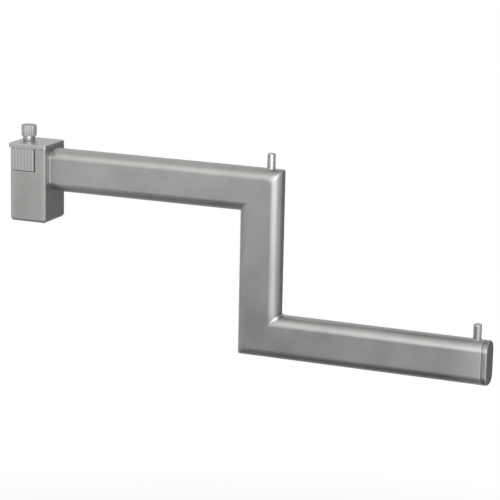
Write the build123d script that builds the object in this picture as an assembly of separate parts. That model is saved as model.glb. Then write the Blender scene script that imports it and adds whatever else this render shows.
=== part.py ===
from build123d import *
import math
import os

os.makedirs("parts", exist_ok=True)

# All sizes in millimetres. X runs along the arms, Y across, Z up.
# The origin is the middle of the flat rear face of the head block.

# Flat-oval tube of the three legs
tube_height = 30.0
tube_width = 16.0
tube_radius = 7.0
tube_wall = 1.5

# Head block
block_length = 27.5
block_width = 29.0
block_height = 51.7
block_edge_radius = 1.2
block_foot_radius = 2.4
mouth_depth = 18.55
mouth_height = 15.9
mouth_edge_radius = 1.5
seat_edge_radius = 0.4
edge_search_reach = 0.1
arm_top_below_block = 0.2

# Cover plate
plate_thickness = 3.3
plate_rear_overhang = 1.3
plate_top_radius = 0.9
plate_joint_chamfer = 0.25

# Ribbed jaw
jaw_length = 18.0
jaw_rear_setback = 0.2
jaw_seat_gap = 0.4
jaw_edge_radius = 0.9
rib_count = 7
rib_groove_width = 1.9
rib_groove_depth = 0.15

# Thumb screw
screw_from_rear = 7.2
shank_diameter = 6.0
shank_clearance = 0.05
shank_engagement = 19.0
bore_end_room = 2.5
collar_diameter = 8.7
collar_length = 3.5
knob_diameter = 10.6
knob_height = 7.7
knob_chamfer = 0.6
knob_dish_depth = 0.3
knob_rim = 1.1
knurl_count = 24
knurl_depth = 0.3
knurl_cut_clearance = 0.05
tip_chamfer = 0.8

# Retaining ring under the jaw
ring_diameter = 9.2
ring_thickness = 0.7
ring_gap_angle = 70.0
ring_groove_depth = 0.5
ring_fit = 0.05
ring_pocket_height = 3.0
ring_pocket_clearance = 0.4
ring_axial_play = 0.1

# Screws that hold the jaw under the cover plate
jaw_screw_diameter = 3.0
jaw_screw_head_diameter = 5.5
jaw_screw_head_height = 3.0
jaw_screw_spacing = 18.0
jaw_screw_grip = 4.0
jaw_screw_bite = 2.4
jaw_screw_end_room = 0.3
jaw_screw_clearance = 0.1
jaw_screw_thread_fit = 0.02
hex_socket_width = 2.5
hex_socket_depth = 1.5

# Step of the arms
riser_centre_x = 184.0
arm_drop = 100.0
arm_end_x = 346.0
outer_corner_radius = 1.6
root_weld_leg = 1.2

# End cap
cap_flange = 4.0
cap_face_radius = 1.4
cap_joint_chamfer = 0.5
cap_spigot_length = 11.0
cap_spigot_fit = 0.1
cap_spigot_wall = 1.6

# Stop pins
pin_diameter = 5.5
pin_height = 10.5
pin_top_radius = 0.9
pin_fit = 0.02
pin_from_end = 9.4
pin_weld_leg = 0.4
pin_weld_sink = 0.4

# Levels and faces that follow from the sizes above
bearing_height = block_height - mouth_height - block_foot_radius
seat_z = bearing_height / 2
block_bottom_z = -bearing_height / 2 - block_foot_radius
block_top_z = block_bottom_z + block_height
plate_top_z = block_top_z + plate_thickness
jaw_bottom_z = seat_z + jaw_seat_gap
jaw_height = block_top_z - jaw_bottom_z
jaw_centre_x = jaw_rear_setback + jaw_length / 2
rib_pitch = jaw_length / rib_count
arm_z = block_top_z - arm_top_below_block - tube_height / 2
lower_arm_z = arm_z - arm_drop
riser_front_x = riser_centre_x + tube_height / 2
riser_rear_x = riser_centre_x - tube_height / 2
lower_tube_end_x = arm_end_x - cap_flange
pin_hole_depth = 2 * tube_wall
ring_pocket_ceiling_z = jaw_bottom_z + ring_pocket_height
ring_top_z = ring_pocket_ceiling_z - ring_axial_play
ring_bottom_z = ring_top_z - ring_thickness


def tube_section(inset=0.0):
    """Section of the flat-oval tube, tall along the sketch's second axis."""
    width = tube_width - 2 * inset
    height = tube_height - 2 * inset
    return RectangleRounded(width, height, tube_radius - inset)


def tube_on(plane, length):
    """Hollow flat-oval tube that starts on the plane and runs along its normal."""
    wall = tube_section() - tube_section(tube_wall)
    return extrude(plane * wall, amount=length)


def level_plane(x, z):
    """Plane across an arm: first axis along Y, second along Z, normal along X."""
    return Plane(origin=(x, 0, z), x_dir=(0, 1, 0), z_dir=(1, 0, 0))


def upright_plane(x, z):
    """Plane across the riser: first axis along Y, second along X, normal down."""
    return Plane(origin=(x, 0, z), x_dir=(0, 1, 0), z_dir=(0, 0, -1))


def mitre_plane(z):
    """Plane of the 45 degree joint between the riser and the arm at this level."""
    return Plane(origin=(riser_centre_x, 0, z), z_dir=(1, 0, -1))


def outer_corner_cutter(x, z, along_x, along_z):
    """Waste outside the rounded outer corner of a mitre, corner at x and z."""
    radius = outer_corner_radius
    middle = (x - along_x * radius, 0, z - along_z * radius)
    corner = (x - along_x * radius / 2, 0, z - along_z * radius / 2)
    waste = Pos(*corner) * Box(radius, tube_width, radius)
    rounding = Pos(*middle) * Rot(90, 0, 0) * Cylinder(radius, tube_width)
    return waste - rounding


def pin_hole(x, axis_z):
    """Hole for a stop pin through the top wall of the arm, sunk at the top for its weld."""
    top_z = axis_z + tube_height / 2
    radius = pin_diameter / 2 + pin_fit
    hole = Cylinder(radius, 2 * pin_hole_depth) + Cylinder(radius + pin_weld_leg, 2 * pin_weld_sink)
    return Pos(x, 0, top_z) * hole


def root_weld():
    """Weld leg round the sides and foot of the upper arm at the head block."""
    plane = level_plane(block_length, arm_z)
    leg = extrude(plane * tube_section(-root_weld_leg), amount=root_weld_leg, taper=45)
    leg -= extrude(plane * tube_section(tube_wall), amount=root_weld_leg)
    top = Plane(origin=(0, 0, arm_z + tube_height / 2 - tube_radius))
    return split(leg, bisect_by=top, keep=Keep.BOTTOM)


def make_upper_arm_tube():
    length = riser_front_x - block_length
    arm = tube_on(level_plane(block_length, arm_z), length)
    arm = split(arm, bisect_by=mitre_plane(arm_z), keep=Keep.BOTTOM)
    arm -= outer_corner_cutter(riser_front_x, arm_z + tube_height / 2, 1, 1)
    arm -= pin_hole(riser_front_x - pin_from_end, arm_z)
    return arm + root_weld()


def make_riser_tube():
    top_z = arm_z + tube_height / 2
    length = arm_drop + tube_height
    riser = tube_on(upright_plane(riser_centre_x, top_z), length)
    riser = split(riser, bisect_by=mitre_plane(arm_z), keep=Keep.TOP)
    riser = split(riser, bisect_by=mitre_plane(lower_arm_z), keep=Keep.BOTTOM)
    riser -= outer_corner_cutter(riser_front_x, top_z, 1, 1)
    riser -= outer_corner_cutter(riser_rear_x, top_z - length, -1, -1)
    return riser


def make_lower_arm_tube():
    length = lower_tube_end_x - riser_rear_x
    arm = tube_on(level_plane(riser_rear_x, lower_arm_z), length)
    arm = split(arm, bisect_by=mitre_plane(lower_arm_z), keep=Keep.TOP)
    arm -= outer_corner_cutter(riser_rear_x, lower_arm_z - tube_height / 2, -1, -1)
    arm -= pin_hole(arm_end_x - pin_from_end, lower_arm_z)
    return arm


def make_end_cap():
    """Cap with a rounded face and a hollow spigot that fits inside the tube."""
    joint = level_plane(lower_tube_end_x, lower_arm_z)
    flange = extrude(joint * tube_section(), amount=cap_flange)
    face_edges = flange.faces().sort_by(Axis.X)[-1].edges()
    flange = fillet(face_edges, cap_face_radius)
    joint_edges = flange.faces().sort_by(Axis.X)[0].edges()
    flange = chamfer(joint_edges, cap_joint_chamfer)
    spigot_inset = tube_wall + cap_spigot_fit
    outside = extrude(joint * tube_section(spigot_inset), amount=-cap_spigot_length)
    inside = extrude(joint * tube_section(spigot_inset + cap_spigot_wall), amount=-cap_spigot_length)
    return flange + (outside - inside)


def make_stop_pin(x, axis_z):
    """Round pin with a small weld round it, its foot flush with the inside of the wall."""
    crown_z = axis_z + tube_height / 2
    radius = pin_diameter / 2
    weld = radius + pin_weld_leg
    outline = [
        (0, crown_z - tube_wall),
        (radius, crown_z - tube_wall),
        (radius, crown_z - pin_weld_sink),
        (weld, crown_z - pin_weld_sink),
        (weld, crown_z),
        (radius, crown_z + pin_weld_leg),
        (radius, crown_z + pin_height),
        (0, crown_z + pin_height),
    ]
    profile = make_face(Plane.XZ * Polyline(*outline, close=True))
    pin = revolve(profile, axis=Axis.Z)
    return Pos(x, 0, 0) * fillet(pin.edges().sort_by(Axis.Z)[-1], pin_top_radius)


def make_head_block():
    """Block with a rounded foot, the open mouth at its upper rear and the tapped bore."""
    middle_z = block_bottom_z + block_height / 2
    body = Pos(block_length / 2, 0, middle_z) * Box(block_length, block_width, block_height)
    body = fillet(body.edges().filter_by(Axis.Z), block_edge_radius)
    body = fillet(body.faces().sort_by(Axis.Z)[0].edges(), block_foot_radius)
    mouth = Box(mouth_depth, block_width, mouth_height, align=(Align.MIN, Align.CENTER, Align.MIN))
    body -= Pos(0, 0, seat_z) * mouth
    nearest = mouth_depth - edge_search_reach
    farthest = mouth_depth + edge_search_reach
    wall = body.edges().filter_by(Axis.Z).filter_by_position(Axis.X, nearest, farthest)
    body = fillet(wall, mouth_edge_radius)
    rim = body.edges().filter_by_position(Axis.Z, seat_z - edge_search_reach, seat_z + edge_search_reach)
    body = fillet(rim.filter_by_position(Axis.X, -edge_search_reach, nearest), seat_edge_radius)
    depth = shank_engagement + bore_end_room
    bore = Cylinder(shank_diameter / 2 + shank_clearance, depth)
    return body - Pos(screw_from_rear, 0, seat_z - depth / 2) * bore


def jaw_screw_places():
    """Axes of the two screws that join the jaw to the cover plate."""
    return Pos(jaw_centre_x, 0, 0) * GridLocations(0, jaw_screw_spacing, 1, 2)


def make_cover_plate():
    length = block_length + plate_rear_overhang
    middle_x = block_length / 2 - plate_rear_overhang / 2
    middle_z = block_top_z + plate_thickness / 2
    plate = Pos(middle_x, 0, middle_z) * Box(length, block_width, plate_thickness)
    plate = fillet(plate.edges().filter_by(Axis.Z), block_edge_radius)
    plate = fillet(plate.faces().sort_by(Axis.Z)[-1].edges(), plate_top_radius)
    plate = chamfer(plate.faces().sort_by(Axis.Z)[0].edges(), plate_joint_chamfer)
    through = Cylinder(shank_diameter / 2 + shank_clearance, plate_thickness)
    plate -= Pos(screw_from_rear, 0, middle_z) * through
    depth = jaw_screw_bite + jaw_screw_end_room
    tapped = Cylinder(jaw_screw_diameter / 2 + jaw_screw_thread_fit, depth)
    for place in jaw_screw_places():
        plate -= place * Pos(0, 0, block_top_z + depth / 2) * tapped
    return plate


def jaw_grooves():
    """Upright grooves that leave the ribs on both side faces of the jaw."""
    half = rib_groove_width / 2
    notch = Polygon((half, 0), (-half, 0), (0, -rib_groove_depth), align=None)
    row = Sketch()
    for side, turn in ((block_width / 2, 0), (-block_width / 2, 180)):
        for place in GridLocations(rib_pitch, 0, rib_count - 1, 1):
            row += Pos(jaw_centre_x, side) * Rot(0, 0, turn) * place * notch
    return extrude(Plane.XY.offset(jaw_bottom_z) * row, amount=jaw_height)


def make_clamp_jaw():
    """Ribbed jaw with the ring's pocket and the screw holes in its underside."""
    middle_z = jaw_bottom_z + jaw_height / 2
    jaw = Pos(jaw_centre_x, 0, middle_z) * Box(jaw_length, block_width, jaw_height)
    jaw = fillet(jaw.edges().filter_by(Axis.Z), jaw_edge_radius)
    jaw -= jaw_grooves()
    through = Cylinder(shank_diameter / 2 + shank_clearance, jaw_height)
    jaw -= Pos(screw_from_rear, 0, middle_z) * through
    pocket = Cylinder(ring_diameter / 2 + ring_pocket_clearance, ring_pocket_height)
    jaw -= Pos(screw_from_rear, 0, jaw_bottom_z + ring_pocket_height / 2) * pocket
    head_depth = jaw_height - jaw_screw_grip
    head_hole = Cylinder(jaw_screw_head_diameter / 2 + jaw_screw_clearance, head_depth)
    shank_hole = Cylinder(jaw_screw_diameter / 2 + jaw_screw_clearance, jaw_height)
    for place in jaw_screw_places():
        jaw -= place * Pos(0, 0, jaw_bottom_z + head_depth / 2) * head_hole
        jaw -= place * Pos(0, 0, middle_z) * shank_hole
    return jaw


def make_jaw_screws():
    """The two socket-head screws, heads down in the jaw."""
    head_top_z = block_top_z - jaw_screw_grip
    head_middle_z = head_top_z - jaw_screw_head_height / 2
    length = jaw_screw_grip + jaw_screw_bite
    screw = Pos(0, 0, head_middle_z) * Cylinder(jaw_screw_head_diameter / 2, jaw_screw_head_height)
    screw += Pos(0, 0, head_top_z + length / 2) * Cylinder(jaw_screw_diameter / 2, length)
    socket = extrude(RegularPolygon(hex_socket_width / 2, 6, major_radius=False), amount=hex_socket_depth)
    screw -= Pos(0, 0, head_top_z - jaw_screw_head_height) * socket
    return Compound(children=[place * screw for place in jaw_screw_places()])


def knurl_cutter(bottom_z, height):
    """Straight knurl: a ring of V grooves round the knob."""
    outside = knob_diameter / 2
    half = outside * math.pi / knurl_count
    over = knurl_cut_clearance
    notch = Polygon((over, -half), (over, half), (-knurl_depth, 0), align=None)
    ring = Sketch() + [place * notch for place in PolarLocations(outside, knurl_count)]
    return extrude(Plane.XY.offset(bottom_z) * ring, amount=height)


def make_thumb_screw():
    """Knurled knob, plain collar and shank, turned from one bar."""
    shank = shank_diameter / 2
    groove = shank - ring_groove_depth
    groove_top_z = ring_top_z + ring_fit
    collar = collar_diameter / 2
    knob = knob_diameter / 2
    knob_z = plate_top_z + collar_length
    knob_top_z = knob_z + knob_height
    tip_z = seat_z - shank_engagement
    outline = [
        (0, tip_z),
        (shank - tip_chamfer, tip_z),
        (shank, tip_z + tip_chamfer),
        (shank, ring_bottom_z),
        (groove, ring_bottom_z),
        (groove, groove_top_z),
        (shank, groove_top_z),
        (shank, plate_top_z),
        (collar, plate_top_z),
        (collar, knob_z),
        (knob - knob_chamfer, knob_z),
        (knob, knob_z + knob_chamfer),
        (knob, knob_top_z - knob_chamfer),
        (knob - knob_chamfer, knob_top_z),
        (knob - knob_rim, knob_top_z),
        (knob - knob_rim - knob_dish_depth, knob_top_z - knob_dish_depth),
        (0, knob_top_z - knob_dish_depth),
    ]
    profile = make_face(Plane.XZ * Polyline(*outline, close=True))
    turned = revolve(profile, axis=Axis.Z) - knurl_cutter(knob_z, knob_height)
    return Pos(screw_from_rear, 0, 0) * turned


def make_retaining_ring():
    """Open ring in the shank's groove, below the ceiling of the jaw's pocket."""
    outside = ring_diameter / 2
    inside = shank_diameter / 2 - ring_groove_depth + ring_fit
    reach = ring_diameter
    half = math.radians(ring_gap_angle / 2)
    corner = (reach * math.cos(half), reach * math.sin(half))
    opening = Polygon((0, 0), corner, (corner[0], -corner[1]), align=None)
    ring = Circle(outside) - Circle(inside) - opening
    level = Plane.XY.offset(ring_bottom_z)
    return Pos(screw_from_rear, 0, 0) * extrude(level * ring, amount=ring_thickness)


pieces = {
    "head_block": make_head_block(),
    "upper_arm_tube": make_upper_arm_tube(),
    "riser_tube": make_riser_tube(),
    "lower_arm_tube": make_lower_arm_tube(),
    "end_cap": make_end_cap(),
    "upper_stop_pin": make_stop_pin(riser_front_x - pin_from_end, arm_z),
    "lower_stop_pin": make_stop_pin(arm_end_x - pin_from_end, lower_arm_z),
    "cover_plate": make_cover_plate(),
    "clamp_jaw": make_clamp_jaw(),
    "jaw_screws": make_jaw_screws(),
    "thumb_screw": make_thumb_screw(),
    "retaining_ring": make_retaining_ring(),
}

for name, solid in pieces.items():
    export_step(solid, f"parts/{name}.step")
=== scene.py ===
import math
import bpy
from mathutils import Matrix, Vector


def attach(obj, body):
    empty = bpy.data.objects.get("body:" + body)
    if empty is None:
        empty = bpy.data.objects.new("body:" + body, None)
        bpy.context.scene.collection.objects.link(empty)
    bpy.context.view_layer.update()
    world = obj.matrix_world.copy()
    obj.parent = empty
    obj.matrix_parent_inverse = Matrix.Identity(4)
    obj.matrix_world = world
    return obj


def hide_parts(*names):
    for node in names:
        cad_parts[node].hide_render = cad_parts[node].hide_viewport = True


# Stepped steel display arm with a clamp head. Metres throughout.
# X runs along the arms, Y across, Z up; the head's rear face is at X = 0.
print("loading the packed frame")
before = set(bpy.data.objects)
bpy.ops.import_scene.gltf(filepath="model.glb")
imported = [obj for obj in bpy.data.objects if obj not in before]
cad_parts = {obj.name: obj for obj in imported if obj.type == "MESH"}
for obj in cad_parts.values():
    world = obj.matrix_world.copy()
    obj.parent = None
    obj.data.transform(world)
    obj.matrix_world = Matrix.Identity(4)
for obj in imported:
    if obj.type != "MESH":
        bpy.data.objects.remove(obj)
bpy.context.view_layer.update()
mm = 0.001
mergeDistance = 0.001 * mm
nearby = 0.01 * mm


# Small helpers for modelling

def deselectAll():
    if bpy.context.mode != "OBJECT":
        bpy.ops.object.mode_set(mode="OBJECT")
    bpy.ops.object.select_all(action="DESELECT")


def pickOnly(thing):
    deselectAll()
    thing.select_set(True)
    bpy.context.view_layer.objects.active = thing


def startEdit(thing, mode="FACE"):
    pickOnly(thing)
    bpy.ops.object.mode_set(mode="EDIT")
    bpy.ops.mesh.select_mode(type=mode)
    bpy.ops.mesh.select_all(action="DESELECT")


# Selects the vertices or edges of the mesh in hand that pass the test
def selectWhere(thing, kind, test):
    bpy.ops.object.mode_set(mode="OBJECT")
    mesh = thing.data
    for part in list(mesh.vertices) + list(mesh.edges) + list(mesh.polygons):
        part.select = False
    if kind == "verts":
        for vert in mesh.vertices:
            vert.select = test(vert.co)
    else:
        for edge in mesh.edges:
            a, b = (mesh.vertices[i].co for i in edge.vertices)
            edge.select = test(a, b)
    bpy.ops.object.mode_set(mode="EDIT")


def addModifier(thing, kind, **settings):
    modifier = thing.modifiers.new(kind.title(), kind)
    for key, value in settings.items():
        setattr(modifier, key, value)
    pickOnly(thing)
    bpy.ops.object.modifier_apply(modifier=modifier.name)


# Leaves the object at the origin, unturned and unscaled, with smooth normals that point out
def finishPiece(thing, name, smoothAngle):
    thing.name = name
    thing.data.name = name
    pickOnly(thing)
    bpy.ops.object.transform_apply(location=True, rotation=True, scale=True)
    bpy.ops.object.mode_set(mode="EDIT")
    bpy.ops.mesh.select_all(action="SELECT")
    bpy.ops.mesh.remove_doubles(threshold=mergeDistance)
    bpy.ops.mesh.normals_make_consistent(inside=False)
    bpy.ops.object.mode_set(mode="OBJECT")
    bpy.ops.object.shade_smooth_by_angle(angle=math.radians(smoothAngle))
    print(name, "box in mm", [round(part / mm, 2) for part in thing.dimensions],
          "faces", len(thing.data.polygons))
    return thing


# Shader sums written as plain expressions

class Value:
    # Wraps an output socket, so that sums on it add Math nodes
    def __init__(self, recipe, socket):
        self.recipe = recipe
        self.socket = socket

    def math(self, operation, *inputs):
        return self.recipe.add("ShaderNodeMath", {"operation": operation}, inputs)

    def __add__(self, other):
        return self.math("ADD", self, other)

    def __radd__(self, other):
        return self.math("ADD", other, self)

    def __sub__(self, other):
        return self.math("SUBTRACT", self, other)

    def __rsub__(self, other):
        return self.math("SUBTRACT", other, self)

    def __mul__(self, other):
        return self.math("MULTIPLY", self, other)

    def __pow__(self, other):
        return self.math("POWER", self, other)

    def __abs__(self):
        return self.math("ABSOLUTE", self)

    def orMore(self, other):
        return self.math("MAXIMUM", self, other)


class Recipe:
    # Builds the nodes of one material or of the world
    def __init__(self, tree):
        self.tree = tree
        tree.nodes.clear()

    # Adds a node: settings first, then its sockets by name or in order, and gives one output
    def add(self, kind, settings=None, inputs=(), output=0):
        node = self.tree.nodes.new(kind)
        for key, value in (settings or {}).items():
            if key == "stops":
                for stop, (place, level) in zip(node.color_ramp.elements, value):
                    stop.position = place
                    stop.color = (level, level, level, 1)
            else:
                setattr(node, key, value)
        pairs = inputs.items() if isinstance(inputs, dict) else enumerate(inputs)
        for key, value in pairs:
            if isinstance(value, Value):
                self.tree.links.new(value.socket, node.inputs[key])
            else:
                node.inputs[key].default_value = value
        return Value(self, node.outputs[output]) if node.outputs else None

    # Blends two colours by a mask
    def blend(self, mask, first, second):
        settings = {"data_type": "RGBA", "blend_type": "MIX", "clamp_factor": True}
        return self.add("ShaderNodeMix", settings, {0: mask, 6: first, 7: second}, 2)

    # Stays 0 up to a start, rises to 1 over a reach and stays 1
    def ramp(self, part, start, reach):
        return self.add("ShaderNodeMath", {"operation": "MULTIPLY", "use_clamp": True},
                        [part - start, 1 / reach])

    # The X, Y and Z of a place
    def split(self, place):
        first = self.add("ShaderNodeSeparateXYZ", {}, [place])
        return [Value(self, socket) for socket in first.socket.node.outputs]

    def noise(self, place, scale, detail=3.0, offset=(0, 0, 0)):
        moved = self.add("ShaderNodeMapping", {},
                         {"Vector": place, "Location": offset, "Scale": scale})
        return self.add("ShaderNodeTexNoise", {},
                        {"Vector": moved, "Scale": 1.0, "Detail": detail, "Roughness": 0.6})


def newMaterial(name):
    material = bpy.data.materials.new(name)
    material.use_nodes = True
    return material, Recipe(material.node_tree)


# Finishes of the steel. Grain and cloud counts are per metre along X, Y and Z. The shade of a
# patch is a share of the finish's own colour.
steelFinishes = {
    "satinAlongArm": {
        "colour": (0.357, 0.348, 0.338), "roughness": 0.40, "spread": 0.10, "bump": 0.35,
        "grain": (35, 2600, 2600), "clouds": 40,
        # towards the free end: a painted highlight, with more roughness and less metal
        "blastFrom": 322 * mm, "blastReach": 19 * mm,
        "endPaintedHighlight": 1.15, "blastRough": 0.05, "endPatchMatt": 0.10},
    "satinAlongRiser": {
        "colour": (0.350, 0.341, 0.331), "roughness": 0.40, "spread": 0.10, "bump": 0.35,
        "grain": (2600, 2600, 35), "clouds": 40},
    "satinHead": {
        "colour": (0.347, 0.337, 0.326), "roughness": 0.42, "spread": 0.10, "bump": 0.35,
        "grain": (2400, 2400, 60), "clouds": 60,
        # rounded and bottom edges painted darker (painted shade), front and back painted lighter
        # near the upright edges (painted highlight)
        "edgeBox": ((13.75 * mm, 13.75 * mm), (0, 14.5 * mm), -19.1 * mm),
        "edgeRound": 1.2 * mm, "edgePaintedShade": 0.42, "edgeRough": 0.12,
        "margin": 5 * mm, "marginFall": 1.5, "marginPaintedHighlight": 1.30, "sideDepth": 0.2 * mm},
    "satinJaw": {
        "colour": (0.357, 0.353, 0.347), "roughness": 0.58, "spread": 0.10, "bump": 0.35,
        "grain": (2400, 2400, 60), "clouds": 60},
    "satinPlate": {
        "colour": (0.400, 0.397, 0.390), "roughness": 0.42, "spread": 0.10, "bump": 0.35,
        "grain": (60, 2400, 2400), "clouds": 60},
    "knurledSteel": {
        "colour": (0.396, 0.392, 0.386), "roughness": 0.58, "spread": 0.08, "bump": 0.20,
        "grain": (900, 900, 900), "clouds": 120},
    "satinCap": {
        "colour": (0.302, 0.302, 0.298), "roughness": 0.42, "spread": 0.10, "bump": 0.30,
        "grain": (1500, 1500, 1500), "clouds": 80,
        # the end face is painted darker, a painted shade
        "faceFrom": 345.5 * mm, "faceReach": 0.3 * mm, "facePaintedShade": 0.78},
    "turnedSteel": {
        "colour": (0.40, 0.398, 0.392), "roughness": 0.28, "spread": 0.03, "bump": 0.02,
        "grain": (60, 60, 3200), "clouds": 60},
    "polishedSteel": {
        "colour": (0.43, 0.428, 0.422), "roughness": 0.17, "spread": 0.03, "bump": 0.02,
        "grain": (60, 60, 3200), "clouds": 60},
    # polished weld steel whose colour is painted pale, a painted highlight
    "weldSteelPaintedGlint": {
        "colour": (0.70, 0.70, 0.695), "roughness": 0.30, "spread": 0.10, "bump": 0.6,
        "grain": (1100, 1100, 1100), "clouds": 500, "metal": 0.6},
    "zincSteel": {
        "colour": (0.36, 0.37, 0.38), "roughness": 0.36, "spread": 0.12, "bump": 0.2,
        "grain": (900, 900, 900), "clouds": 400},
}

# What all the finishes share: how grain and clouds shade the steel, and where edges are rubbed
brushing = {
    "darkest": 0.90, "lightest": 1.10, "grainShare": 0.8, "cloudShare": 1.9,
    "cloudOffset": (1.3, 7.1, 2.9),
    "fineCount": 3.1, "fineDetail": 2.0, "fineOffset": (3.7, 1.9, 5.3),
    "rubbedStops": ((0.52, 0.0), (0.60, 1.0)), "rubbedShade": 1.08,
    "bumpDepth": 0.02 * mm, "bumpGrain": 0.6, "bumpFine": 0.4,
}


# Brushed steel: fine grain in one direction, faint clouds, and edges rubbed a little brighter
def brushedSteel(name, values):
    material, recipe = newMaterial(name)
    place = recipe.add("ShaderNodeTexCoord", output="Object")
    grain = recipe.noise(place, values["grain"])
    fine = recipe.noise(place, [brushing["fineCount"] * count for count in values["grain"]],
                        brushing["fineDetail"], brushing["fineOffset"])
    cloud = recipe.noise(place, [values["clouds"]] * 3, offset=brushing["cloudOffset"])
    edge = recipe.add("ShaderNodeNewGeometry", output="Pointiness")
    rubbed = recipe.add("ShaderNodeValToRGB", {"stops": brushing["rubbedStops"]}, {"Fac": edge})

    def shade(share):
        return [share * part for part in values["colour"]] + [1]

    mottle = 0.5 + (grain - 0.5) * brushing["grainShare"] + (cloud - 0.5) * brushing["cloudShare"]
    colour = recipe.blend(mottle, shade(brushing["darkest"]), shade(brushing["lightest"]))
    colour = recipe.blend(rubbed, colour, shade(brushing["rubbedShade"]))
    metal, spread = values.get("metal", 1.0), values["spread"]
    rough = values["roughness"] + (grain - 0.5) * spread + (cloud - 0.5) * spread
    if "edgeBox" in values:
        # the front and back faces are painted lighter towards their upright edges, a painted
        # highlight; rounded upright and bottom edges are rougher and painted darker, a painted
        # shade
        (middleX, halfX), (middleY, halfY), lowZ = values["edgeBox"]
        margin, edgeRound, depth = values["margin"], values["edgeRound"], values["sideDepth"]
        x, y, z = recipe.split(place)
        fromX, fromY = abs(x - middleX), abs(y - middleY)
        marginHighlightMask = recipe.ramp(fromX, halfX - margin, margin) ** values["marginFall"]
        colour = recipe.blend(marginHighlightMask * recipe.ramp(fromY, halfY - depth, depth), colour,
                              shade(values["marginPaintedHighlight"]))
        upright = (recipe.ramp(fromX, halfX - edgeRound, edgeRound)
                   * recipe.ramp(fromY, halfY - edgeRound, edgeRound))
        dulledAndShaded = upright.orMore(recipe.ramp(lowZ - z, -edgeRound, edgeRound))
        rough = rough + dulledAndShaded * values["edgeRough"]
        colour = recipe.blend(dulledAndShaded, colour, shade(values["edgePaintedShade"]))
    if "faceFrom" in values:
        # the flat end face is painted darker than the sides, a painted shade
        face = recipe.ramp(recipe.split(place)[0], values["faceFrom"], values["faceReach"])
        colour = recipe.blend(face, colour, shade(values["facePaintedShade"]))
    if "blastFrom" in values:
        # towards the free end the colour is painted lighter, a painted highlight, and the steel
        # turns rougher and a little less metallic
        towardsFreeEnd = recipe.ramp(recipe.split(place)[0], values["blastFrom"], values["blastReach"])
        rough = rough + towardsFreeEnd * values["blastRough"]
        metal = 1 - towardsFreeEnd * values["endPatchMatt"]
        colour = recipe.blend(towardsFreeEnd, colour, shade(values["endPaintedHighlight"]))
    height = grain * brushing["bumpGrain"] + fine * brushing["bumpFine"]
    normal = recipe.add("ShaderNodeBump", {}, {
        "Strength": values["bump"], "Distance": brushing["bumpDepth"], "Height": height})
    surface = recipe.add("ShaderNodeBsdfPrincipled", {}, {
        "Base Color": colour, "Metallic": metal, "Roughness": rough, "Normal": normal})
    recipe.add("ShaderNodeOutputMaterial", {}, {"Surface": surface})
    return material


print("mixing the finishes")
finishes = {name: brushedSteel(name, values) for name, values in steelFinishes.items()}


def dress(thing, *names):
    thing.data.materials.clear()
    for name in names:
        thing.data.materials.append(finishes[name])


# Welded arm: upper arm, riser and lower arm of one flat-oval section
armValues = {
    "height": 30 * mm, "width": 16 * mm, "cornerRadius": 7 * mm, "cornerSteps": 14,
    "startX": 27.5 * mm, "upperZ": 17.4 * mm, "riserX": 184 * mm, "lowerZ": -82.6 * mm,
    "endX": 342 * mm, "endEdge": 0.5 * mm, "endSteps": 3, "smoothAngle": 35, "flatWeight": 80,
    # how round the step's corners are: outside beside the flats, outside at the edge, and inside
    "besideFlat": 4.6 * mm, "outerRadius": 1.2 * mm, "innerRadius": 0.5 * mm, "cornerTurns": 8,
    # how far the root weld stands out from the arm, at distances from the head
    "rootWeld": ((0.0, 0.34 * mm), (0.22 * mm, 0.21 * mm), (0.8 * mm, 0.12 * mm),
                 (3.0 * mm, 0.03 * mm), (8.0 * mm, 0.0)),
}

# The two weld beads in the lower inner corner, measured across from the riser's mid-line
beadValues = {
    "radius": 1.5 * mm, "roundSteps": 3, "from": 9.3 * mm, "to": 14.8 * mm, "cuts": 3,
    "ripple": 0.10, "rippleTurn": 2.1, "rippleRise": 3 / mm, "thinEnd": 0.1, "taper": 3,
    "smoothAngle": 60,
}


def extrudeBy(x, y, z):
    bpy.ops.mesh.extrude_region_move(TRANSFORM_OT_translate={"value": (x, y, z)})


# How round a corner is at a distance outwards from the arm's middle: widest beside the flats
def cornerRound(outwards, values):
    if outwards < 0:
        return values["innerRadius"]
    flatEnd = values["height"] / 2 - values["cornerRadius"]
    share = max(0, min(1, (outwards - flatEnd) / values["cornerRadius"]))
    return values["besideFlat"] + (values["outerRadius"] - values["besideFlat"]) * share


# Bends the straight tube: its sections a millimetre apart go round the two corners of the step
def bendArm(arm, values):
    riserX, upperZ, lowerZ = values["riserX"], values["upperZ"], values["lowerZ"]
    steps = values["cornerTurns"]
    for vertex in arm.data.vertices:
        across = vertex.co.z - upperZ
        place = round((vertex.co.x - riserX) / mm)
        turn = math.radians(90) * (place % (steps + 1)) / steps
        if place > 2 * steps + 1:
            vertex.co.z = lowerZ + across
        elif place > steps:
            radius = cornerRound(-across, values)
            vertex.co.x = riserX + across + radius * (1 - math.cos(turn))
            vertex.co.z = lowerZ + across + radius * (1 - math.sin(turn))
        elif place >= 0:
            radius = cornerRound(across, values)
            vertex.co.x = riserX + across - radius * (1 - math.sin(turn))
            vertex.co.z = upperZ + across - radius * (1 - math.cos(turn))


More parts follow.
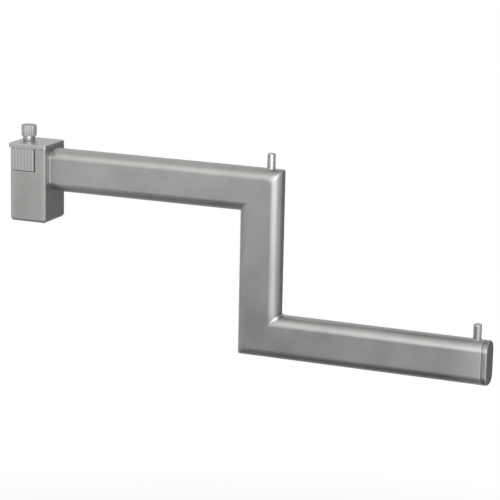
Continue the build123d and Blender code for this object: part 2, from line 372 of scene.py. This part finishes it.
def makeWeldedArm(values, beads):
    startX, riserX, endX = values["startX"], values["riserX"], values["endX"]
    upperZ, lowerZ = values["upperZ"], values["lowerZ"]
    deselectAll()
    bpy.ops.mesh.primitive_plane_add(size=1, location=(startX, 0, upperZ),
                                     rotation=(0, math.radians(90), 0))
    arm = bpy.context.object
    arm.scale = (values["height"], values["width"], 1)
    bpy.ops.object.transform_apply(location=True, rotation=True, scale=True)
    startEdit(arm, "VERT")
    bpy.ops.mesh.select_all(action="SELECT")
    bpy.ops.mesh.bevel(affect="VERTICES", offset=values["cornerRadius"],
                       segments=values["cornerSteps"], profile=0.5, clamp_overlap=False)
    bpy.ops.mesh.select_mode(type="FACE")
    bpy.ops.mesh.select_all(action="SELECT")

    # the root weld widens the section at the sides and below, and never above the arm's top
    before = startX
    wide, tall = values["width"], values["height"]
    for distance, proud in values["rootWeld"]:
        newWide, newTall = values["width"] + 2 * proud, values["height"] + proud
        if distance > 0:
            extrudeBy(startX + distance - before, 0, 0)
        before = startX + distance
        bpy.ops.transform.resize(value=(1, newWide / wide, newTall / tall),
                                 center_override=(before, 0, upperZ + values["height"] / 2))
        wide, tall = newWide, newTall
    extrudeBy(riserX - before, 0, 0)
    sections = 2 * values["cornerTurns"] + 1
    for section in range(sections):
        extrudeBy(mm, 0, 0)
    extrudeBy(endX - riserX - sections * mm, 0, 0)
    bpy.ops.object.mode_set(mode="OBJECT")
    bendArm(arm, values)
    startEdit(arm, "EDGE")
    selectWhere(arm, "edges", lambda a, b: min(a.x, b.x) > endX - nearby)
    bpy.ops.mesh.bevel(affect="EDGES", offset=values["endEdge"], segments=values["endSteps"],
                       profile=0.5)

    # copies of two stretches of the lower inner edge become beads; the upper weld is ground flush
    def onBead(point):
        across = point.x - riserX
        return abs(across - (point.z - lowerZ)) < nearby and beads["from"] < across < beads["to"]

    selectWhere(arm, "edges", lambda a, b: onBead(a) and onBead(b))
    bpy.ops.mesh.duplicate()
    bpy.ops.mesh.separate(type="SELECTED")
    bpy.ops.object.mode_set(mode="OBJECT")
    return arm, next(thing for thing in bpy.context.selected_objects if thing != arm)


# Thickens the copied inner edges into round, rippled beads with thin ends
def makeBeads(edges, values):
    pickOnly(edges)
    bpy.ops.object.convert(target="CURVE")
    bpy.ops.object.mode_set(mode="EDIT")
    bpy.ops.curve.select_all(action="SELECT")
    bpy.ops.curve.subdivide(number_cuts=values["cuts"])
    bpy.ops.object.mode_set(mode="OBJECT")
    for spline in edges.data.splines:
        last = len(spline.points) - 1
        for place, point in enumerate(spline.points):
            fromEnd = min(place, last - place) / last
            ripple = math.sin(values["rippleTurn"] * place + values["rippleRise"] * point.co.z)
            point.radius = (min(1, values["thinEnd"] + values["taper"] * fromEnd)
                            * (1 + values["ripple"] * ripple))
    edges.data.bevel_depth = values["radius"]
    edges.data.bevel_resolution = values["roundSteps"]
    edges.data.use_fill_caps = True
    bpy.ops.object.convert(target="MESH")
    return bpy.context.object


print("modelling the welded arm")
arm, beadEdges = makeWeldedArm(armValues, beadValues)
weldedArm = finishPiece(arm, "weldedArm", armValues["smoothAngle"])
# weighted normals keep the long faces flat to the light
addModifier(weldedArm, "WEIGHTED_NORMAL", keep_sharp=True, weight=armValues["flatWeight"])
dress(weldedArm, "satinAlongArm", "satinAlongRiser")
for face in weldedArm.data.polygons:
    across = face.center.x - armValues["riserX"]
    aboveLower = face.center.z - armValues["lowerZ"] - across
    belowUpper = face.center.z - armValues["upperZ"] - across
    face.material_index = 1 if aboveLower > 0 and belowUpper < 0 else 0
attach(weldedArm, "bracket")
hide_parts("upper_arm_tube", "riser_tube", "lower_arm_tube")

weldBeads = finishPiece(makeBeads(beadEdges, beadValues), "weldBeads", beadValues["smoothAngle"])
dress(weldBeads, "weldSteelPaintedGlint")
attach(weldBeads, "bracket")

# Thumb screw: thread, shank with the ring's groove, polished collar and knurled knob
screwValues = {
    "axisX": 7.2 * mm, "tipZ": -2.3 * mm, "threadTopZ": 19.3 * mm, "grooveTopZ": 20.05 * mm,
    "plateTopZ": 35.9 * mm, "knobZ": 39.4 * mm, "knobTopZ": 47.1 * mm,
    "shankRadius": 3.0 * mm, "coreRadius": 2.46 * mm, "grooveRadius": 2.5 * mm, "pitch": 1.0 * mm,
    # crest and flank are shares of the pitch; the winding starts windBelow pitches under the tip
    "crest": 0.125, "flank": 0.3125, "threadSteps": 40, "windBelow": 1.51, "spareTurns": 2,
    "hiddenShare": 0.9, "sunk": 0.05 * mm,
    "collarRadius": 4.35 * mm, "collarEdge": 0.3 * mm,
    "knobRadius": 5.3 * mm, "knobEdge": 0.2 * mm, "rim": 1.1 * mm, "dish": 0.3 * mm,
    "ridges": 24, "ridgeDepth": 0.3 * mm, "stepsPerRidge": 6, "smoothAngle": 30,
}


# Points of a rounded rim: outwards and up at a lower rim, up and inwards at an upper one
def roundedEdge(radius, z, edge, upper, steps=5):
    points = []
    for step in range(steps + 1):
        angle = math.radians(90) * step / steps
        inset, rise = edge * (1 - math.sin(angle)), edge * (1 - math.cos(angle))
        points.append((radius - inset, z + rise))
    if upper:
        points = [(r, 2 * z - height) for r, height in reversed(points)]
    return points


# Turns a solid up from its lowest section, through pairs of radius and height
def turnSolid(axisX, points, sides):
    deselectAll()
    radius, z = points[0]
    bpy.ops.mesh.primitive_circle_add(vertices=sides, radius=radius, fill_type="NGON",
                                      location=(axisX, 0, z))
    solid = bpy.context.object
    bpy.ops.object.transform_apply(location=True)
    bpy.ops.object.mode_set(mode="EDIT")
    bpy.ops.mesh.select_mode(type="FACE")
    bpy.ops.mesh.select_all(action="SELECT")
    for newRadius, newZ in points[1:]:
        extrudeBy(0, 0, newZ - z)
        scale = newRadius / radius
        bpy.ops.transform.resize(value=(scale, scale, 1), center_override=(axisX, 0, newZ))
        radius, z = newRadius, newZ
    bpy.ops.object.mode_set(mode="OBJECT")
    return solid


def makeKnob(values):
    top, knob = values["knobTopZ"], values["knobRadius"]
    # the lowest stretch is hidden in the thread
    inside = values["hiddenShare"] * values["coreRadius"]
    points = [(inside, values["threadTopZ"] - values["pitch"]),
              (inside, values["threadTopZ"] - values["sunk"]),
              (values["grooveRadius"], values["threadTopZ"] - values["sunk"]),
              (values["grooveRadius"], values["grooveTopZ"]),
              (values["shankRadius"], values["grooveTopZ"]),
              (values["shankRadius"], values["plateTopZ"])]
    points += roundedEdge(values["collarRadius"], values["plateTopZ"], values["collarEdge"], False)
    points += [(values["collarRadius"], values["knobZ"])]
    depth = values["ridgeDepth"]
    points += roundedEdge(knob - depth, values["knobZ"], values["knobEdge"], False)
    points += [(knob, values["knobZ"] + values["knobEdge"] + depth / 2),
               (knob, top - values["knobEdge"] - depth / 2)]
    points += roundedEdge(knob - depth, top, values["knobEdge"], True)
    points += [(knob - values["rim"], top),
               (knob - values["rim"] - values["dish"], top - values["dish"])]
    knobPiece = turnSolid(values["axisX"], points, values["ridges"] * values["stepsPerRidge"])

    # every ridge has a crest, two flanks and a valley; the valleys and flanks are pressed in
    steps = values["stepsPerRidge"]
    pace = 360 / (values["ridges"] * steps)
    startEdit(knobPiece, "VERT")
    for place in range(1, steps):
        share = 1 - abs(2 * place / steps - 1)
        scale = 1 - share * depth / knob

        def atPlace(point):
            across = math.hypot(point.x - values["axisX"], point.y)
            turn = round(math.degrees(math.atan2(point.y, point.x - values["axisX"])) / pace)
            return across > knob - nearby and turn % steps == place

        selectWhere(knobPiece, "verts", atPlace)
        bpy.ops.transform.resize(value=(scale, scale, 1),
                                 center_override=(values["axisX"], 0, top))
    bpy.ops.object.mode_set(mode="OBJECT")
    return knobPiece


# Right-hand thread: one tooth's outline wound up the shank, cut square at both ends
def makeThread(values):
    crest, core, pitch = values["shankRadius"], values["coreRadius"], values["pitch"]
    rise = (0, values["flank"], values["crest"], values["flank"])
    reach = (core, crest, crest, core)
    root = 1 - sum(rise)
    deselectAll()
    bpy.ops.mesh.primitive_plane_add(size=1)
    thread = bpy.context.object
    bpy.ops.object.mode_set(mode="EDIT")
    bpy.ops.mesh.select_mode(type="VERT")
    bpy.ops.mesh.merge(type="CENTER")
    bpy.ops.transform.translate(value=(core, 0, 0))
    at = core
    for step, radius in list(zip(rise, reach))[1:] + [(root, core)]:
        extrudeBy(radius - at, 0, step * pitch)
        at = radius
    bpy.ops.object.mode_set(mode="OBJECT")
    turns = math.ceil((values["threadTopZ"] - values["tipZ"]) / pitch) + values["spareTurns"]
    addModifier(thread, "SCREW", axis="Z", angle=math.radians(360), screw_offset=pitch,
                iterations=turns, steps=values["threadSteps"], render_steps=values["threadSteps"])
    thread.location = (values["axisX"], 0, values["tipZ"] - values["windBelow"] * pitch)
    pickOnly(thread)
    bpy.ops.object.transform_apply(location=True)
    startEdit(thread)
    bpy.ops.mesh.select_all(action="SELECT")
    bpy.ops.mesh.remove_doubles(threshold=mergeDistance)
    for level, upper in ((values["tipZ"], False), (values["threadTopZ"], True)):
        startEdit(thread)
        bpy.ops.mesh.select_all(action="SELECT")
        bpy.ops.mesh.bisect(plane_co=(0, 0, level), plane_no=(0, 0, 1), use_fill=True,
                            clear_inner=not upper, clear_outer=upper,
                            threshold=0.1 * mergeDistance)
    bpy.ops.object.mode_set(mode="OBJECT")
    return thread


print("modelling the thumb screw")
knobPiece, threadPiece = makeKnob(screwValues), makeThread(screwValues)
pickOnly(knobPiece)
threadPiece.select_set(True)
bpy.ops.object.join()
thumbScrew = finishPiece(knobPiece, "thumbScrewPiece", screwValues["smoothAngle"])
dress(thumbScrew, "knurledSteel", "polishedSteel")
for face in thumbScrew.data.polygons:
    face.material_index = 0 if face.center.z > screwValues["knobZ"] else 1
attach(thumbScrew, "screw")
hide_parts("thumb_screw")

# The CAD nodes whose shape is right keep it, and get their finish
nodeFinishes = {
    "head_block": "satinHead", "end_cap": "satinCap", "cover_plate": "satinPlate",
    "clamp_jaw": "satinJaw", "upper_stop_pin": "turnedSteel", "lower_stop_pin": "turnedSteel",
    "retaining_ring": "zincSteel", "jaw_screws": "zincSteel",
}
for nodeName, finishName in nodeFinishes.items():
    dress(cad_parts[nodeName], finishName)


# Floor, light and camera
floorValues = {
    "z": -0.60, "radius": 1.25, "sides": 128, "thick": 0.01, "fadeFrom": 0.45,
    "colour": (0.74, 0.74, 0.735), "roughness": 0.7, "speckles": 9, "speckleShade": 0.97,
}
ambient = 0.55
# Each softbox or card has a place, or a way from the object (azimuth, elevation) and a distance
softboxes = {
    "frontRight": {"towards": (27.2, 6), "away": 1.2, "size": (1.36, 0.80), "level": 3.45,
                   "colour": (0.93, 0.965, 1.0)},
    "frontAbove": {"towards": (-25, 31), "away": 1.1, "size": (0.9, 0.8), "level": 0.74,
                   "colour": (1, 1, 1)},
}
cards = {
    "topCard": {"at": (0.26, 0.22, 0.36), "facing": (0, 0, -1), "size": (0.36, 0.44), "grey": 0.45},
    "lowCard": {"at": (0.28, -0.18, -0.33), "facing": (0, 0, 1), "size": (0.34, 0.40),
                "grey": 0.13},
    "lowLeftCard": {"at": (-0.01, -0.18, -0.33), "facing": (0, 0, 1), "size": (0.24, 0.40),
                    "grey": 0.32},
    "frontCard": {"at": (0.315, -0.625, -0.205), "facing": (0, 0, 1), "size": (0.59, 0.77),
                  "grey": 0.04},
    "frontLeftCard": {"at": (-0.065, -0.625, -0.205), "facing": (0, 0, 1), "size": (0.17, 0.77),
                      "grey": 0.17},
    "rearRightCard": {"towards": (149, -8), "away": 0.95, "size": (1.4, 1.1), "grey": 0.32},
    "rearLeftCard": {"towards": (-158, 4), "away": 1.0, "size": (1.0, 0.5), "grey": 0.90},
    "leftCard": {"towards": (-80, -8), "away": 0.95, "size": (1.2, 1.1), "grey": 0.86},
}
middle = Vector((0.17, 0, -0.02))


# Where a softbox or card stands, and how it is turned to face the object
def standAt(values):
    if "at" in values:
        return Vector(values["at"]), Vector(values["facing"]).to_track_quat("Z", "Y").to_euler()
    azimuth, elevation = (math.radians(angle) for angle in values["towards"])
    way = Vector((math.sin(azimuth) * math.cos(elevation), -math.cos(azimuth) * math.cos(elevation),
                  math.sin(elevation)))
    return middle + way * values["away"], (-way).to_track_quat("-Z", "Y").to_euler()


# White background for the camera, gloss and glass, and a softer light for the rest
def whiteBeyond(recipe, kind):
    seen = [recipe.add("ShaderNodeLightPath", output=way) for way in
            ("Is Camera Ray", "Is Glossy Ray", "Is Transmission Ray")]
    shown = recipe.add("ShaderNodeMath", {"operation": "ADD", "use_clamp": True},
                       [seen[0] + seen[1], seen[2]])
    strength = ambient + shown * (1 - ambient)
    return recipe.add(kind, {}, {"Color": (1, 1, 1, 1), "Strength": strength})


print("setting up the studio")
deselectAll()
bpy.ops.mesh.primitive_cylinder_add(
    vertices=floorValues["sides"], radius=floorValues["radius"], depth=floorValues["thick"],
    location=(middle.x, 0, floorValues["z"] - floorValues["thick"] / 2))
floor = bpy.context.object
floor.name = "floor"
floorMaterial, recipe = newMaterial("floorPaint")
place = recipe.add("ShaderNodeTexCoord", output="Object")
tone = recipe.blend(recipe.noise(place, [floorValues["speckles"]] * 3),
                    [floorValues["speckleShade"] * part for part in floorValues["colour"]] + [1],
                    [*floorValues["colour"], 1])
paint = recipe.add("ShaderNodeBsdfPrincipled", {},
                   {"Base Color": tone, "Roughness": floorValues["roughness"]})
away = recipe.add("ShaderNodeVectorMath", {"operation": "LENGTH"}, [place], 1)
faded = recipe.add("ShaderNodeMapRange", {"interpolation_type": "SMOOTHSTEP"},
                   [away, floorValues["fadeFrom"], floorValues["radius"], 0.0, 1.0])
beyond = whiteBeyond(recipe, "ShaderNodeEmission")
surface = recipe.add("ShaderNodeMixShader", {}, [faded, paint, beyond])
recipe.add("ShaderNodeOutputMaterial", {}, {"Surface": surface})
floor.data.materials.append(floorMaterial)

for name, values in softboxes.items():
    deselectAll()
    place, turn = standAt(values)
    bpy.ops.object.light_add(type="AREA", location=place, rotation=turn)
    lamp = bpy.context.object
    lamp.name = name
    lamp.data.shape = "RECTANGLE"
    lamp.data.color = values["colour"]
    lamp.data.size, lamp.data.size_y = values["size"]
    lamp.data.energy = values["level"] * math.pi * lamp.data.size * lamp.data.size_y
    lamp.visible_camera = False

for name, values in cards.items():
    deselectAll()
    place, turn = standAt(values)
    bpy.ops.mesh.primitive_plane_add(size=1, location=place, rotation=turn)
    card = bpy.context.object
    card.name = name
    card.scale = (values["size"][0], values["size"][1], 1)
    cardMaterial, recipe = newMaterial(name + "Paint")
    surface = recipe.add("ShaderNodeBsdfPrincipled", {},
                         {"Base Color": [values["grey"]] * 3 + [1], "Roughness": 1.0})
    recipe.add("ShaderNodeOutputMaterial", {}, {"Surface": surface})
    card.data.materials.append(cardMaterial)
    # a card is seen in glossy reflections only
    card.visible_camera = card.visible_diffuse = False
    card.visible_shadow = card.visible_transmission = False

world = bpy.data.worlds.new("studioWorld")
bpy.context.scene.world = world
world.use_nodes = True
recipe = Recipe(world.node_tree)
recipe.add("ShaderNodeOutputWorld", {}, {"Surface": whiteBeyond(recipe, "ShaderNodeBackground")})

cameraValues = {
    "at": (0.68652, -1.26429, 0.29271), "azimuth": 22.01, "elevation": 13.11, "roll": 1.18,
    "lens": 149.05, "sensor": 36, "clip": (0.01, 20),
}
print("placing the camera")
bpy.ops.object.camera_add(location=cameraValues["at"])
camera = bpy.context.object
turn = (Matrix.Rotation(math.radians(cameraValues["azimuth"]), 3, "Z")
        @ Matrix.Rotation(math.radians(90 - cameraValues["elevation"]), 3, "X")
        @ Matrix.Rotation(math.radians(cameraValues["roll"]), 3, "Z"))
camera.rotation_euler = turn.to_euler()
camera.data.lens = cameraValues["lens"]
camera.data.sensor_width = cameraValues["sensor"]
camera.data.clip_start, camera.data.clip_end = cameraValues["clip"]
bpy.context.scene.camera = camera
bpy.context.scene.view_settings.view_transform = "Standard"
